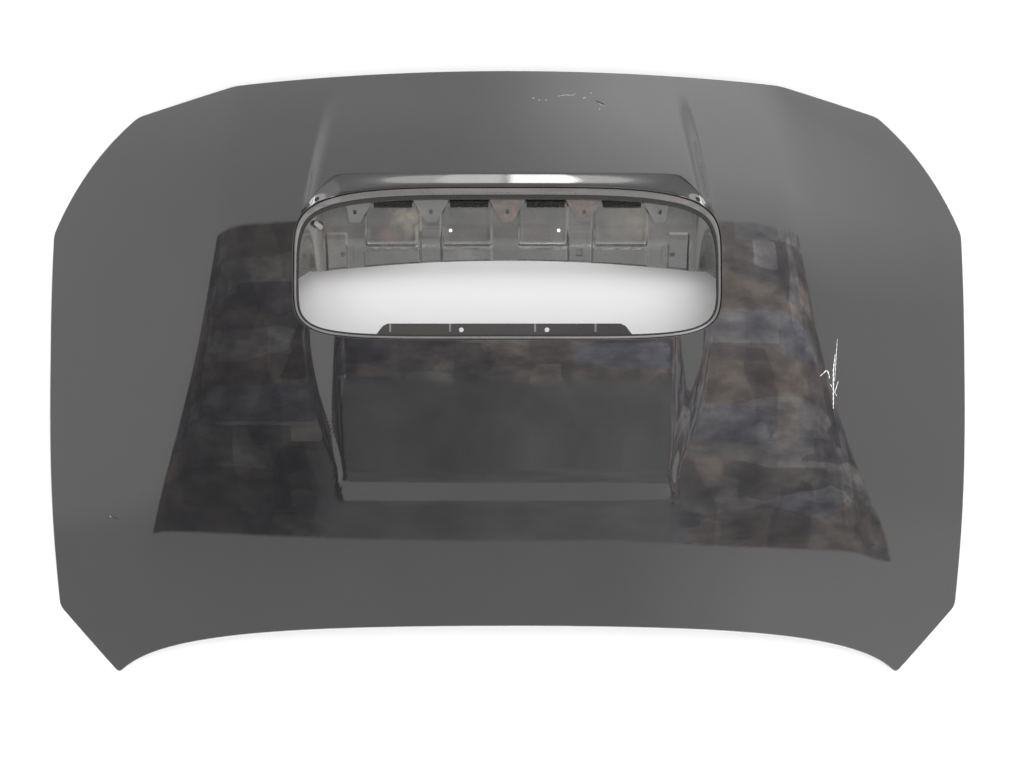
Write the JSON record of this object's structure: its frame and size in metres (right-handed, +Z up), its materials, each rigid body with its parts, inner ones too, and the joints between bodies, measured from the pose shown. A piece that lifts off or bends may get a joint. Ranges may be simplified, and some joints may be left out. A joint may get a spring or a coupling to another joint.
{
  "type": "car bonnet",
  "caption": "Pressed car bonnet with a wide scoop aperture, hemmed edges, an inner frame, aperture brackets, hinge plates and a latch striker.",
  "frame": {"origin": "centre of the bounding box, on the floor that the bonnet lies on", "axes": "+X across the car, +Y to the nose edge, +Z up out of the painted outer face"},
  "size_m": [1.5038, 0.9816, 0.1166],
  "materials": {
    "paint": "gloss black paint",
    "inner_paint": "semi-gloss black primer",
    "steel": "zinc-plated steel",
    "foam": "black foam",
    "mastic": "dull grey mastic",
    "pale_plastic": "pale plastic"
  },
  "bodies": {
    "root": {"outer_skin": "paint", "inner_panel": "inner_paint", "scoop_seat_ring": "inner_paint", "scoop_front_bracket_1": "inner_paint", "scoop_front_bracket_2": "inner_paint", "scoop_front_bracket_3": "inner_paint", "scoop_front_bracket_4": "inner_paint", "scoop_front_bracket_5": "inner_paint", "scoop_rear_bracket": "inner_paint", "foam_strip_1": "foam", "foam_strip_2": "foam", "foam_strip_3": "foam", "foam_strip_4": "foam", "corner_plate_left": "inner_paint", "corner_plate_right": "inner_paint", "edge_clip": "pale_plastic", "striker_plate": "steel", "latch_striker": "steel", "hinge_plate_left": "steel", "hinge_plate_right": "steel", "hinge_nut_left_rear": "steel", "hinge_nut_left_front": "steel", "hinge_nut_right_rear": "steel", "hinge_nut_right_front": "steel", "mastic_pad_01": "mastic", "mastic_pad_02": "mastic", "mastic_pad_03": "mastic", "mastic_pad_04": "mastic", "mastic_pad_05": "mastic", "mastic_pad_06": "mastic", "mastic_pad_07": "mastic", "mastic_pad_08": "mastic", "mastic_pad_09": "mastic", "mastic_pad_10": "mastic", "mastic_pad_11": "mastic", "mastic_pad_12": "mastic"}
  },
  "joints": []
}
